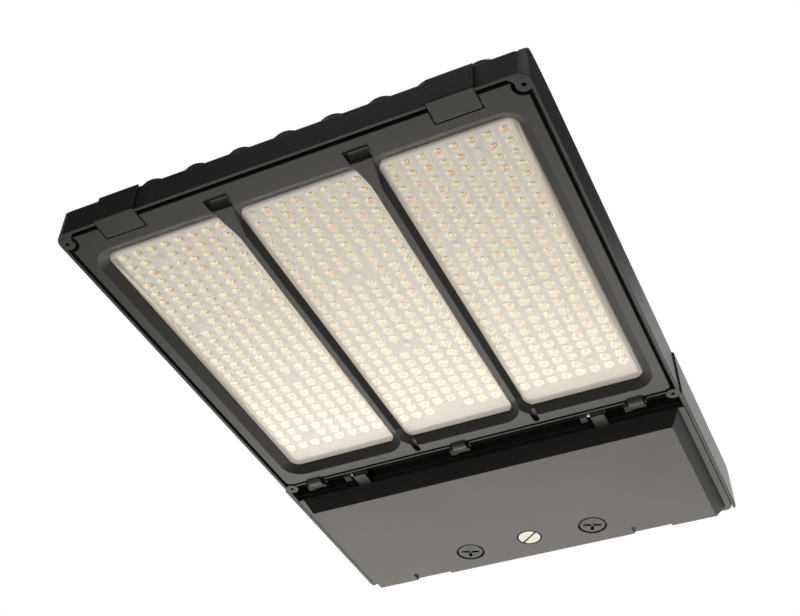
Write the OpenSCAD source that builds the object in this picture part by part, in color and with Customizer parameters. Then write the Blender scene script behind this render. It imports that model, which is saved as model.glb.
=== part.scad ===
// Shoebox area light. A die-cast housing carries three boards of small lamps under
// clear lens plates, a lens frame that hinges down from its rear edge, and a driver
// box at the back with a door on the same hinge line.
// X runs to the right, Y from the front edge to the arm face, Z up.
// The light shines down. The origin is the centre of the arm face.

/* [Body] */
// Width over the lower rim
rim_w = 340; // [334:1:352]
// Length from the front wall to the arm face
body_len = 494; // [486:1:530]
// Height of the side walls above the rim
body_h = 41; // [39:0.5:50]
// Height of the front wall
front_h = 22; // [20:0.5:28]
// Thickness of the rim and front wall
wall = 2.2; // [1.8:0.1:3]
// Lean of each side wall from rim to top
side_draft = 1.8; // [0.5:0.1:3]
// How far the driver box is wider than the rim, each side
box_flare = 1.4; // [0.6:0.1:2]
// Radius of the front corners in plan
corner_r = 9; // [6:0.5:12]

/* [Cooling] */
// Number of broad ribs that start at the front edge
rib_count = 9; // [5:2:9]
// Distance of the outermost ribs from the sides
rib_margin = 32.8; // [31:0.1:36]
// Width of a rib at its nose
rib_w = 18; // [14:0.5:20]
// Thickness of the rib's blade behind the nose
rib_blade = 3.2; // [2.5:0.1:5]
// Height of the ribs above the rim
rib_h = 36.5; // [35:0.5:40]
// Thin fins between two ribs
fins_per_bay = 2; // [1:1:3]
// Thickness of a thin fin
fin_t = 2.4; // [1.8:0.1:3]
// Distance of the thin fins from the front wall
fin_setback = 30; // [20:1:60]
// Thickness of the deck that carries the boards
deck_t = 3.6; // [3:0.1:6]

/* [Lens frame] */
// Gap between the front wall and the frame
frame_front = 5.5; // [4.5:0.1:7]
// Length of the frame
frame_len = 312; // [306:1:320]
// Gap between the rim and the frame at each side
frame_gap = 2.9; // [2:0.1:4]
// Thickness of the frame
frame_h = 6.6; // [6.4:0.1:8]
// Width of the frame's flat band at the sides
band_side = 7.4; // [6:0.1:9]
// Width of the flat band at the front and the rear
band_end = 18; // [17.5:0.1:19]
// How far the bevel narrows each window
bevel = 6.6; // [6:0.1:7]
// Radius of the window corners at the lens plates
window_r = 10; // [7:0.5:12]
// Width of the two bars' ridge
bar_w = 3.8; // [3:0.1:5]
// Thickness of the bars
bar_h = 4.5; // [3.5:0.1:4.6]

/* [Lens plates] */
// Lower face of the plates above the rim
plate_z = 4.8; // [4.7:0.1:5.2]
// Thickness of a plate
plate_t = 1.6; // [1.4:0.1:1.8]
// Distance between the lens rows
row_pitch = 9.885; // [9.6:0.005:10.5]
// Distance between the lens columns
col_pitch = 11.1; // [10.8:0.1:12]
// Radius of a lens dome at its foot
dome_r = 4.6; // [3.5:0.1:4.7]
// Height of a lens dome
dome_h = 2; // [1.5:0.1:2.4]
// Side of a lamp chip
chip_w = 2.8; // [2:0.1:4]

/* [Hinge line] */
// Distance of the hinge axis behind the frame
hinge_back = 12; // [11.5:0.1:13]
// Height of the hinge axis above the rim
hinge_z = 5.5; // [5.4:0.1:6]
// Radius of the hinge pins
hinge_pin_r = 2.5; // [2:0.1:2.8]
// Running clearance of a pin in its knuckle
pin_play = 0.08; // [0.05:0.01:0.1]
// Radius of the knuckles
knuckle_r = 5.2; // [4.8:0.1:5.3]
// Thickness of a hinge lug
lug_t = 5.5; // [4:0.5:5.5]
// Width of a frame hook
hook_w = 11.5; // [9:0.5:12]
// Width of a door arm
arm_w = 11; // [9:0.5:12]

/* [Latches] */
// Width of a latch
latch_w = 31; // [26:1:36]
// Distance of each latch from the side of the rim
latch_inset = 49.3; // [46:0.1:60]
// Thickness of the latch plates
latch_t = 2; // [1.8:0.1:2.2]
// Depth of the latch under the frame, from the front wall
latch_reach = 15.2; // [14.5:0.1:16]
// Height of the latch above the front wall's top
latch_rise = 1.8; // [1:0.1:3]
// Radius of the latch pins
latch_pin_r = 1.1; // [0.9:0.1:1.2]

/* [Driver door] */
// Depth of the door below the rim
door_drop = 12.2; // [10:0.1:15]
// Thickness of the door
door_t = 2.4; // [2:0.1:3]
// Slope of the door's sides and rear, measured across
door_slope = 7.7; // [6:0.1:9]
// Thickness of the door's gasket
gasket_t = 1.5; // [1.2:0.1:2]
// Distance of each door screw from the side of the rim
screw_inset = 114; // [105:1:125]
// Distance of the door screws from the arm face
screw_back = 39.5; // [38:0.5:46]
// Radius of a door screw's head
screw_head_r = 10.5; // [8:0.5:11]
// Radius of the closure plug's head
plug_r = 9.8; // [9:0.1:10]
// Distance of the closure plug from the arm face
plug_back = 42.2; // [41:0.1:46]
// Distance of each rear notch from the side of the rim
notch_inset = 68.2; // [60:0.1:75]
// Width of a rear notch
notch_w = 33; // [25:1:36]

/* [Arm mount] */
// Height of the arm face's centre above the rim
mount_z = 21.5; // [20:0.5:23]
// Bolt spacing across
bolt_dx = 90; // [80:1:110]
// Bolt spacing up
bolt_dz = 16; // [14:0.5:18]
// Radius of the tapped bolt holes
bolt_r = 3.4; // [3:0.1:4]
// Radius of the wire entry through its bushing
entry_r = 6; // [5:0.5:7]
// Radius of the four small holes at the corners
ear_hole_r = 1.5; // [1.2:0.1:2]

/* [Hidden] */
$fn = 48;

gap = 0.4;                    // air between pieces that move past each other
big = 700;                    // longer than the whole light
half_w = rim_w / 2;
inner_w = half_w - wall;      // inside of the rim
box_half = half_w + box_flare;
rib_pitch = (rim_w - 2 * rib_margin) / (rib_count - 1);
latch_x = half_w - latch_inset;
screw_x = half_w - screw_inset;
notch_x = half_w - notch_inset;

// places along the length
frame_rear = frame_front + frame_len;
hinge_y = frame_rear + hinge_back;
rib_wall_y = frame_rear + 2.7;      // thin cross wall behind the frame
rib_wall_t = 1.6;
box_y = hinge_y + 11.5;             // front face of the driver box
door_front = hinge_y + 12.5;
box_wall = 6;
screw_y = body_len - screw_back;
plug_y = body_len - plug_back;
rear_t = 5.5;                       // rear wall that carries the arm
side_t = 5.9;                       // side walls of the driver box

// heights
frame_seal_t = 2.2;
ledge_z = frame_h + frame_seal_t;   // seat of the frame gasket
pocket_z = ledge_z + 2.8;           // roof of the lamp pocket
deck_z = pocket_z + deck_t;         // top of the deck
channel_z = pocket_z + 1;           // roof of the hinge channel
flange_t = 2.5;                     // flange of the driver door
seat_z = flange_t + gasket_t;       // seat of the door gasket
skin_t = 3;                         // top skin of the driver box
roof_z = body_h - skin_t;           // roof inside the driver box

// lens modules
frame_half = inner_w - frame_gap;
window_half = frame_half - band_side - bevel;
module_pitch = (2 * window_half + 2.7) / 3;
plate_half = module_pitch / 2 - 1.75;
plate_front = frame_front + band_end + bevel + 0.8;
plate_rear = frame_rear - 16.5;
plate_len = plate_rear - plate_front;
plate_rim_t = 1.2;
flange_front = plate_front - 13.5;
flange_rear = plate_rear + 6.3;
pocket_front = flange_front - 0.6;
pocket_rear = flange_rear + 0.6;
pocket_half = plate_half + module_pitch + 5;
flange_z = ledge_z - 0.8;
board_t = 1.6;
pad_t = 0.4;
chip_h = 0.7;
board_z = plate_z + plate_t + 0.2 + chip_h;
board_inset = 4;                    // of the boards inside the plates' edges
pad_inset = board_inset + 1;
board_screw_h = 0.8;
lens_cols = floor((2 * plate_half - 19) / col_pitch) + 1;
lens_rows = floor((plate_len - 30.2) / row_pitch) + 1;
first_row = plate_front + 10.2;
lens_screw_dx = plate_half - 17;

// hinge line: the lugs carry the pins, the hooks and arms slide on from the right
hook_x = [-half_w + 29.3, -9.8, half_w - 33.9];
arm_x = [-half_w + 66.8, half_w - 66.8];
hook_lug_gap = 0.2;
arm_lug_gap = 3.1;

// domes are left out where the boards are screwed down: [row, column]
outer_cells = [[1, 2], [8, 1], [8, 6], [16, 4], [23, 2]];
middle_cells = [[0, 0], [8, 3], [8, 4], [16, 3], [16, 4], [24, 3], [24, 4]];
middle_screws = [[0, 0], [8, 3.5], [16, 3.5]];

// latch
latch_face = -1.5;                  // front face of the latch
latch_axis_y = latch_reach - 2;
latch_axis_z = 2.4;
latch_barrel_r = 2.2;

// driver box contents, in shares of the room inside
room_front = box_y + box_wall;
room_rear = body_len - rear_t;
room_d = room_rear - room_front;
room_half = box_half - side_t;
room_h = roof_z - seat_z;
driver_len = 0.834 * room_half;
driver_w = 0.424 * room_d;
driver_h = 0.91 * room_h;
driver_x = 0.4955 * room_half;
driver_y = room_front + 0.318 * room_d;
foot_half = driver_w / 4;
driver_holes = [
    for (s = [-1, 1]) s * (driver_x - driver_len / 2 + 5),
    for (s = [-1, 1]) s * (driver_x + driver_len / 2 - 5)
];
module_y = room_rear - 0.23 * room_d;        // surge protector and terminal block
module_d = 0.127 * room_d;                   // half their depth
surge_x0 = -0.894 * room_half;
surge_x1 = -0.604 * room_half;
surge_h = 0.82 * room_h;
block_x = 0.7 * room_half;
block_half = 0.133 * room_half;
block_h = 0.53 * room_h;
pole_dx = 0.6 * block_half;                  // between the poles of the block
ground_x = 22;
ground_y = body_len - 18;
ground_z = roof_z - 9;
screw_r = 3;                                 // shank of a door screw
plug_stem_r = 8;

// ---- helpers ----------------------------------------------------------------

// everything is drawn from the front wall and the rim, then moved to the arm face
module place() {
    translate([0, -body_len, -mount_z]) children();
}

module both_sides() {
    children();
    mirror([1, 0, 0]) children();
}

// block between two corners
module span(x0, x1, y0, y1, z0, z1) {
    translate([x0, y0, z0]) cube([x1 - x0, y1 - y0, z1 - z0]);
}

// outline in Y and Z, drawn out along X
module along_x(x0, x1) {
    translate([x0, 0, 0]) rotate([90, 0, 90]) linear_extrude(x1 - x0) children();
}

// outline in X and Z, drawn out along Y
module along_y(y0, y1) {
    translate([0, y1, 0]) rotate([90, 0, 0]) linear_extrude(y1 - y0) children();
}

module rod_x(x0, x1, y, z, r) {
    translate([x0, y, z]) rotate([0, 90, 0]) cylinder(r = r, h = x1 - x0);
}

module rod_z(x, y, z0, z1, r) {
    translate([x, y, z0]) cylinder(r = r, h = z1 - z0);
}

// rectangle with round corners
module round_rect(x0, x1, y0, y1, r) {
    translate([x0 + r, y0]) square([x1 - x0 - 2 * r, y1 - y0]);
    translate([x0, y0 + r]) square([x1 - x0, y1 - y0 - 2 * r]);
    for (x = [x0 + r, x1 - r], y = [y0 + r, y1 - r]) translate([x, y]) circle(r = r);
}

module round_block(x0, x1, y0, y1, z0, z1, r) {
    translate([0, 0, z0]) linear_extrude(z1 - z0) round_rect(x0, x1, y0, y1, r);
}

// upright ring with round corners, t wide
module ring(x0, x1, y0, y1, z0, z1, r, t) {
    translate([0, 0, z0]) linear_extrude(z1 - z0) difference() {
        round_rect(x0, x1, y0, y1, r);
        round_rect(x0 + t, x1 - t, y0 + t, y1 - t, max(r - t, 0.5));
    }
}

// opening that narrows upwards: round corners, front and rear that lean in by run
module tapered_hole(x0, x1, y0, y1, z0, z1, r, run, run0, run1) {
    ends_x = [[x0, z0], [x1, z0], [x1 - run1, z1], [x0 + run0, z1]];
    ends_y = [[y0, z0], [y1, z0], [y1 - run, z1], [y0 + run, z1]];
    along_y(y0 + r + run, y1 - r - run) polygon(ends_x);
    along_x(x0 + r + run0, x1 - r - run1) polygon(ends_y);
    for (x = [x0 + r + run0, x1 - r - run1], y = [y0 + r + run, y1 - r - run])
        translate([x, y, z0]) cylinder(r1 = r + run, r2 = r, h = z1 - z0);
}

// flexible lead through a list of points: one ring of sides at each point
function unit(v) = v / norm(v);
function heading(path, i) =
    unit(path[min(i + 1, len(path) - 1)] - path[max(i - 1, 0)]);
function lead_ring(path, i, r, sides) =
    let (t = heading(path, i),
         u = unit(cross(t, abs(t[2]) < 0.9 ? [0, 0, 1] : [1, 0, 0])),
         v = cross(t, u))
    [for (k = [0 : sides - 1]) path[i] + r * (cos(360 * k / sides) * u + sin(360 * k / sides) * v)];

module lead(path, r) {
    sides = 8;
    n = len(path);
    rings = [for (i = [0 : n - 1]) each lead_ring(path, i, r, sides)];
    walls = [
        for (i = [0 : n - 2], k = [0 : sides - 1])
            let (a = i * sides + k, b = i * sides + (k + 1) % sides)
            each [[a, b, b + sides], [a, b + sides, a + sides]]
    ];
    first = [for (k = [1 : sides - 2]) [0, k + 1, k]];
    last = [for (k = [1 : sides - 2]) [0, k, k + 1] + [1, 1, 1] * (n - 1) * sides];
    polyhedron(points = rings, faces = concat(walls, first, last));
}

// ---- housing ------------------------------------------------------------------

// side view of the cheeks: low at the front wall, rising in a soft step
cheek = [
    [0, -1], [0, front_h], [10, body_h - 6], [15, body_h - 3.3], [19, body_h - 2.6],
    [26, body_h - 1.6], [33, body_h - 0.9], [50, body_h], [body_len - 5, body_h],
    [body_len, body_h - 5], [body_len, -1]
];

// block with leaning sides, w wide at the rim each side
module leaning_block(w, y0, y1) {
    top = w - side_draft;
    along_y(y0, y1) polygon([[-w, 0], [w, 0], [top, body_h], [-top, body_h]]);
}

module outer_form() {
    intersection() {
        union() {
            intersection() {
                leaning_block(half_w, 0, body_len / 2 + hinge_y / 2);
                round_block(-half_w, half_w, 0, body_len + 2 * corner_r, -1, body_h + 1, corner_r);
            }
            intersection() {
                leaning_block(box_half, rib_wall_y + 5, body_len);
                round_block(-box_half, box_half, 0, body_len, -1, body_h + 1, 5);
            }
        }
        along_x(-big, big) polygon(cheek);
    }
}

// broad rib: a wide round nose behind the front edge that thins to a blade
module rib() {
    arc_r = 24;                 // of the nose in plan and of the crown
    nose_y = 7.6;
    taper_y = 15;
    blade_y = 70;
    half = rib_w / 2;
    blade = rib_blade / 2;
    intersection() {
        // plan: round front, then a taper down to the blade
        translate([0, 0, deck_z - 1]) linear_extrude(rib_h) union() {
            intersection() {
                translate([0, nose_y + arc_r]) circle(r = arc_r);
                translate([-half, 0]) square([rib_w, taper_y]);
            }
            polygon([
                [-half, taper_y], [half, taper_y], [blade, blade_y], [blade, box_y + 1],
                [-blade, box_y + 1], [-blade, blade_y]
            ]);
        }
        // front view: crowned top
        along_y(0, body_len) intersection() {
            translate([0, rib_h - arc_r]) circle(r = arc_r);
            translate([-half, 0]) square([rib_w, rib_h]);
        }
    }
}

module fins() {
    bay_half = (rib_pitch - rib_blade) / 2;
    for (bay = [-(rib_count - 1) / 2 : (rib_count - 1) / 2 - 1], i = [1 : fins_per_bay]) {
        x = (bay + i / (fins_per_bay + 1)) * rib_pitch;
        span(x - fin_t / 2, x + fin_t / 2, fin_setback, box_y + 1, deck_z - 1, rib_h - 1.5);
    }
    both_sides() {
        x = rib_pitch * (rib_count - 1) / 2 + bay_half - 1;
        span(x - fin_t / 2, x + fin_t / 2, fin_setback, box_y + 1, deck_z - 1, rib_h - 1.5);
    }
}

// ceiling passage that takes the leads of one board into the driver box
duct_half = 9;
duct_y = plate_rear - 3;
module ducts(grow) {
    for (m = [-1 : 1]) {
        x = m * module_pitch;
        span(x - duct_half - grow, x + duct_half + grow, duct_y - grow, box_y + box_wall / 2,
            deck_z - 1, deck_z + 9 + grow);
    }
}

module duct_bores() {
    ducts(0);
    for (m = [-1 : 1]) {
        x = m * module_pitch;
        span(x - duct_half, x + duct_half, duct_y, duct_y + 7, pocket_z - 1, deck_z + 5);
        span(x - duct_half, x + duct_half, box_y, box_y + box_wall + 1, deck_z - 1, deck_z + 9);
    }
}

lug_x = [
    for (x = hook_x) x - hook_w / 2 - hook_lug_gap - lug_t,
    for (x = arm_x) x - arm_w / 2 - arm_lug_gap - lug_t
];

// lug that hangs in the hinge channel and holds one pin
module lug(x0) {
    difference() {
        union() {
            rod_x(x0, x0 + lug_t, hinge_y, hinge_z, knuckle_r - 0.9);
            rod_x(x0, x0 + lug_t, hinge_y + 2.4, hinge_z - 0.6, knuckle_r - 1.1);
            span(x0, x0 + lug_t, hinge_y - knuckle_r + 0.9, hinge_y + knuckle_r + 1,
                hinge_z, channel_z + 1);
        }
        rod_x(x0 - 1, x0 + lug_t + 1, hinge_y, hinge_z, hinge_pin_r);
    }
}

ear_r = 5.3;
ear_dx = half_w - 5.6;
ear_front = frame_front + 3.8;
ear_rear = frame_rear + 6.2;

module ears() {
    top = pocket_z + 0.5;
    web_dx = 11.46;
    web_r = 6.5;
    for (x = [-ear_dx, ear_dx], y = [ear_front, ear_rear]) rod_z(x, y, 0, top, ear_r);
    // a hollow curve leads from the front wall to each ear
    both_sides() difference() {
        span(ear_dx - web_dx, ear_dx, 0, ear_front - 1.6, 0, top);
        rod_z(ear_dx - web_dx, wall + web_r - 0.3, -1, top + 1, web_r);
    }
}

boss_r = 7.5;
boss_depth = 16;

module bolt_places() {
    for (x = [-bolt_dx / 2, bolt_dx / 2], z = [-bolt_dz / 2, bolt_dz / 2])
        translate([x, body_len, mount_z + z]) rotate([90, 0, 0]) children();
}

entry_wall_r = entry_r + 4;   // hole for the bushing
screw_boss_z = 2;

module door_screw_bosses() {
    for (x = [-screw_x, screw_x]) rod_z(x, screw_y, screw_boss_z, roof_z + 1, 8);
}

module housing_body() {
    difference() {
        outer_form();
        // rim pocket for the lens frame, then the pocket for the lamps
        round_block(-inner_w, inner_w, wall, rib_wall_y + 20, -1, ledge_z, corner_r - wall);
        round_block(-pocket_half, pocket_half, pocket_front, pocket_rear, 0, pocket_z, 4);
        // hinge channel
        span(-inner_w, inner_w, rib_wall_y + rib_wall_t, box_y, -1, channel_z);
        // space above the deck between the cheeks
        span(-half_w + 5, half_w - 5, wall, box_y, deck_z, big);
        span(-half_w + 5, half_w - 5, -1, wall + 1, front_h, big);
        // driver box
        span(-box_half + side_t, box_half - side_t, box_y + box_wall, body_len - rear_t,
            seat_z - 1, roof_z);
        span(-box_half + wall + 0.5, box_half - wall - 0.5, box_y - 0.01, body_len + 1, -1, seat_z);
    }
    // thin cross wall behind the frame
    span(-inner_w - 1, inner_w + 1, rib_wall_y, rib_wall_y + rib_wall_t, 0.4, channel_z + 1);
    intersection() {
        ears();
        outer_form();
    }
    for (x = lug_x) lug(x);
    for (i = [-(rib_count - 1) / 2 : (rib_count - 1) / 2]) translate([i * rib_pitch, 0, 0]) rib();
    fins();
    ducts(2.5);
    intersection() {
        bolt_places() cylinder(r = boss_r, h = boss_depth);
        span(-big, big, 0, body_len, seat_z, body_h);
    }
    door_screw_bosses();
    rod_z(ground_x, ground_y, ground_z, roof_z + 1, 5);
    board_seats();
}

// raised seats of the boards on the roof of the lamp pocket
module board_seats() {
    for (m = [-1 : 1]) pad_form(m, board_z + board_t + pad_t, pocket_z + 1);
}

module housing() {
    color([0.21, 0.2, 0.19]) place() difference() {
        housing_body();
        duct_bores();
        for (x = hook_x)
            span(x - hook_w / 2 - 2.7, x + hook_w / 2 + 2.7, rib_wall_y - 1,
                rib_wall_y + rib_wall_t + 1, -1, channel_z);
        for (x = [-ear_dx, ear_dx], y = [ear_front, ear_rear]) rod_z(x, y, -1, 8, ear_hole_r);
        // notches in the front wall for the latches
        for (x = [-latch_x, latch_x]) {
            span(x - latch_w / 2 - gap, x + latch_w / 2 + gap, -1, latch_face + latch_t + gap,
                -1, front_h + latch_rise + gap);
            span(x - latch_w / 2 - gap, x + latch_w / 2 + gap, -1, wall + 1, -1, latch_t + gap);
        }
        // arm bolts, wire entry, door screws and ground screw
        bolt_places() translate([0, 0, -1]) cylinder(r = bolt_r, h = boss_depth - 1);
        translate([0, body_len + 1, mount_z]) rotate([90, 0, 0])
            cylinder(r = entry_wall_r, h = rear_t + 2);
        for (x = [-screw_x, screw_x]) rod_z(x, screw_y, screw_boss_z - 1, 20, screw_r + gap);
        rod_z(ground_x, ground_y, ground_z - 1, roof_z, 2);
        for (x = driver_holes) rod_z(x, driver_y, roof_z - 1, roof_z + 2, 1.7);
        for (m = [-1 : 1], c = board_cells(m)) {
            rod_z(cell_x(m, c), cell_y(c), board_z, deck_z - 0.6, 1.25);
        }
        for (p = lens_screw_places) rod_z(p[0], p[1], pocket_z - 1, deck_z - 0.6, 1.25);
    }
}

// ---- lens modules -------------------------------------------------------------

// columns are mirrored on the right-hand module
function cell_x(m, c) =
    m * module_pitch + (m > 0 ? -1 : 1) * (c[1] - (lens_cols - 1) / 2) * col_pitch;
function cell_y(c) = first_row + c[0] * row_pitch;
function board_cells(m) = m == 0 ? middle_screws : outer_cells;
function left_out(m) = m == 0 ? middle_cells : outer_cells;
function is_lens(m, c) = len([for (k = left_out(m)) if (k == c) 1]) == 0;
function lens_cells(m) = [
    for (r = [0 : lens_rows - 1], k = [0 : lens_cols - 1]) if (is_lens(m, [r, k])) [r, k]
];

lens_screw_places = [
    for (m = [-1 : 1], s = [-1, 1], y = [flange_front + 3.2, flange_rear - 3.2])
        [m * module_pitch + s * lens_screw_dx, y]
];

// the outer plates' flange reaches further out, to run under the frame's edge
function flange_left(m) = m * module_pitch - (m < 0 ? plate_half + 4 : module_pitch / 2 - 0.3);
function flange_right(m) = m * module_pitch + (m > 0 ? plate_half + 4 : module_pitch / 2 - 0.3);

module lens_plate(m) {
    x = m * module_pitch;
    dome_ball = (dome_r * dome_r + dome_h * dome_h) / (2 * dome_h);
    color([0.9, 0.89, 0.86]) place() difference() {
        union() {
            round_block(x - plate_half, x + plate_half, plate_front, plate_rear,
                plate_z, flange_z + plate_rim_t, 8);
            round_block(flange_left(m), flange_right(m), flange_front, flange_rear,
                flange_z, flange_z + plate_rim_t, 3);
            if (m == 0) span(-13, 7, plate_rear - 3.2, plate_rear - 1.2, plate_z - 1, plate_z + 0.5);
            for (c = lens_cells(m)) translate([cell_x(m, c), cell_y(c), plate_z])
                rotate_extrude($fn = 24) intersection() {
                    translate([0, dome_ball - dome_h]) circle(r = dome_ball, $fn = 96);
                    translate([0, -dome_h - 1]) square([dome_r, dome_h + 1.2]);
                }
        }
        round_block(x - plate_half + plate_t, x + plate_half - plate_t, plate_front + plate_t,
            plate_rear - plate_t, plate_z + plate_t, flange_z + plate_rim_t + 1, 6);
        for (p = lens_screw_places) rod_z(p[0], p[1], flange_z - 1, flange_z + 2, 1.6);
    }
}

module lens_plate_left() { lens_plate(-1); }
module lens_plate_middle() { lens_plate(0); }
module lens_plate_right() { lens_plate(1); }

module lens_gaskets() {
    color([0.85, 0.85, 0.84]) place() for (m = [-1 : 1]) difference() {
        ring(flange_left(m) + 0.3, flange_right(m) - 0.3, flange_front + 5.8, flange_rear - 0.3,
            flange_z + plate_rim_t, pocket_z, 2.5, 1.5);
        for (p = lens_screw_places) rod_z(p[0], p[1], 0, 20, 2.2);
    }
}

module lens_screws() {
    color([0.7, 0.7, 0.7]) place() for (p = lens_screw_places) {
        rod_z(p[0], p[1], flange_z - 1.2, flange_z, 2.5);
        rod_z(p[0], p[1], flange_z - 0.1, deck_z - 1, 1.25);
    }
}

module led_board(m) {
    x = m * module_pitch;
    color([0.93, 0.92, 0.88]) place() difference() {
        union() {
            round_block(x - plate_half + board_inset, x + plate_half - board_inset,
                plate_front + board_inset, plate_rear - board_inset,
                board_z, board_z + board_t, 3);
            for (c = lens_cells(m)) {
                cx = cell_x(m, c);
                cy = cell_y(c);
                span(cx - chip_w / 2, cx + chip_w / 2, cy - chip_w / 2, cy + chip_w / 2,
                    board_z - chip_h, board_z + 0.2);
            }
        }
        for (c = board_cells(m)) rod_z(cell_x(m, c), cell_y(c), board_z - 1, pocket_z, 1.7);
    }
}

module led_board_left() { led_board(-1); }
module led_board_middle() { led_board(0); }
module led_board_right() { led_board(1); }

module board_screws() {
    color([0.72, 0.72, 0.7]) place() for (m = [-1 : 1], c = board_cells(m)) {
        rod_z(cell_x(m, c), cell_y(c), board_z - board_screw_h, board_z, 2.7);
        rod_z(cell_x(m, c), cell_y(c), board_z - 0.1, deck_z - 1, 1.25);
    }
}

module pad_form(m, z0, z1) {
    x = m * module_pitch;
    round_block(x - plate_half + pad_inset, x + plate_half - pad_inset,
        plate_front + pad_inset, plate_rear - pad_inset, z0, z1, 3);
}

module thermal_pads() {
    z0 = board_z + board_t;
    color([0.6, 0.65, 0.7]) place() for (m = [-1 : 1]) difference() {
        pad_form(m, z0, z0 + pad_t);
        for (c = board_cells(m)) rod_z(cell_x(m, c), cell_y(c), board_z, pocket_z + 1, 1.7);
    }
}

// ---- lens frame -----------------------------------------------------------------

frame_corner_r = 5;
window_y0 = frame_front + band_end;
window_y1 = frame_rear - 9;
bar_lean = 4;

module windows() {
    edge = window_half + bevel;
    bar = module_pitch / 2;
    rib = bar_w / 2;
    // each window runs from a bar's ridge or the side band to the next;
    // the last two numbers are the lean of its left and right sides
    sides = [
        [-edge, -bar - rib, bevel, bar_lean], [-bar + rib, bar - rib, bar_lean, bar_lean],
        [bar + rib, edge, bar_lean, bevel]
    ];
    for (s = sides) {
        tapered_hole(s[0], s[1], window_y0, window_y1, 0, 5, window_r, bevel, s[2], s[3]);
        round_block(s[0] + s[2], s[1] - s[3], window_y0 + bevel, window_y1 - bevel,
            4.99, frame_h + 1, window_r);
        tapered_hole(s[0] - 0.01, s[1] + 0.01, window_y0 - 0.01, window_y1 + 0.01, -0.01, 0.01,
            window_r + bevel - 0.02, 0.01, 0.01, 0.01);
    }
}

// head where a bar joins the front band, narrowing to the bar's ridge
module bar_head(x) {
    head_y = frame_front + 8;
    widths = [[8.9, 0], [8.9, 3], [6, 16.5], [3.4, 30], [2, 39]];
    outline = [
        for (w = widths) [w[0], head_y + w[1]],
        for (i = [len(widths) - 1 : -1 : 0]) [-widths[i][0], head_y + widths[i][1]]
    ];
    translate([x, 0, -0.8]) linear_extrude(bar_h + 0.8) polygon(outline);
}

// round valley across the front of a head
module scoop(x) {
    y0 = frame_front + 8.1;
    along_x(x - 8.1, x + 8.1) intersection() {
        translate([y0 + 4, -2.6]) circle(r = 5.6);
        translate([y0, -3]) square([10, 8]);
    }
}

module hook(x) {
    half = hook_w / 2;
    difference() {
        union() {
            rod_x(x - half, x + half, hinge_y, hinge_z, knuckle_r);
            // round shoulder between the frame and the knuckle
            intersection() {
                rod_x(x - half, x + half, frame_rear + 4.5, 5.2, 8);
                span(x - half, x + half, frame_rear - 3, hinge_y, -4, 6.2);
            }
        }
        rod_x(x - hook_w, x + hook_w, hinge_y, hinge_z, hinge_pin_r + pin_play);
        // open back of the hook
        span(x - hook_w, x + hook_w, hinge_y + 1.2, hinge_y + 9, hinge_z + 0.6, hinge_z + 3.4);
    }
}

module lens_frame() {
    bar = module_pitch / 2;
    color([0.2, 0.195, 0.185]) place() difference() {
        union() {
            difference() {
                round_block(-frame_half, frame_half, frame_front, frame_rear, 0, frame_h,
                    frame_corner_r);
                windows();
                // the bars stay below the lens plates
                span(-bar - 14, -bar + 14, window_y0 + bevel, window_y1 - bevel, bar_h, frame_h + 1);
                span(bar - 14, bar + 14, window_y0 + bevel, window_y1 - bevel, bar_h, frame_h + 1);
            }
            bar_head(-bar);
            bar_head(bar);
            for (x = hook_x) hook(x);
        }
        scoop(-bar);
        scoop(bar);
        // notches round the ears
        for (x = [-ear_dx, ear_dx]) {
            rod_z(x, ear_front, -1, frame_h + 1, 7.9);
            rod_z(x, ear_rear, -1, frame_h + 1, 7.6);
        }
        // latch seats
        for (x = [-latch_x, latch_x]) {
            half = latch_w / 2 + 2 * gap;
            span(x - half, x + half, 0, latch_axis_y, -1, latch_t + 0.3);
            rod_x(x - half, x + half, latch_axis_y, latch_axis_z, 3.6);
            rod_x(x - latch_w / 2 - 5, x + latch_w / 2 + 5, latch_axis_y, latch_axis_z, latch_pin_r);
        }
        // open slots beside the bars' rear roots
        for (x = [-bar + 7.8, bar + 8])
            round_block(x - 2.4, x + 2.4, window_y1 - 6, frame_rear - 1.8, -1, 3.6, 2.3);
    }
}

module frame_gasket() {
    edge = 2.9;                 // from the frame's sides to the gasket
    color([0.12, 0.12, 0.12]) place()
        ring(-frame_half + edge, frame_half - edge, frame_front + 5.5, frame_rear - 3.2,
            frame_h, ledge_z, 14, 3);
}

// ---- latches --------------------------------------------------------------------

module latch(x) {
    top = front_h + latch_rise;
    r = latch_t;
    color([0.19, 0.185, 0.18]) place() difference() {
        union() {
            along_x(x - latch_w / 2, x + latch_w / 2) union() {
                translate([latch_face, 0.8]) square([latch_t, top - 1.8]);
                translate([latch_face + 0.8, 0]) square([latch_reach - latch_face - 0.8, latch_t]);
                translate([latch_face + 0.8, 0.8]) circle(r = 0.8);
                translate([latch_face + 1, top - 1]) circle(r = 1);
            }
            rod_x(x - latch_w / 2, x + latch_w / 2, latch_axis_y, latch_axis_z, latch_barrel_r);
        }
        rod_x(x - latch_w, x + latch_w, latch_axis_y, latch_axis_z, latch_pin_r + pin_play);
    }
}

module latch_left() { latch(-latch_x); }
module latch_right() { latch(latch_x); }

module latch_pins() {
    color([0.75, 0.75, 0.75]) place() for (x = [-latch_x, latch_x])
        rod_x(x - latch_w / 2 - 4.5, x + latch_w / 2 + 4.5, latch_axis_y, latch_axis_z, latch_pin_r);
}

module hinge_pins() {
    color([0.75, 0.75, 0.75]) place() {
        for (x = hook_x) rod_x(x - hook_w / 2 - hook_lug_gap - lug_t, x + hook_w / 2 + 0.5,
            hinge_y, hinge_z, hinge_pin_r);
        for (x = arm_x) rod_x(x - arm_w / 2 - arm_lug_gap - lug_t, x + arm_w / 2 + 0.5,
            hinge_y, hinge_z, hinge_pin_r);
    }
}

// ---- driver door ------------------------------------------------------------------

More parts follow.
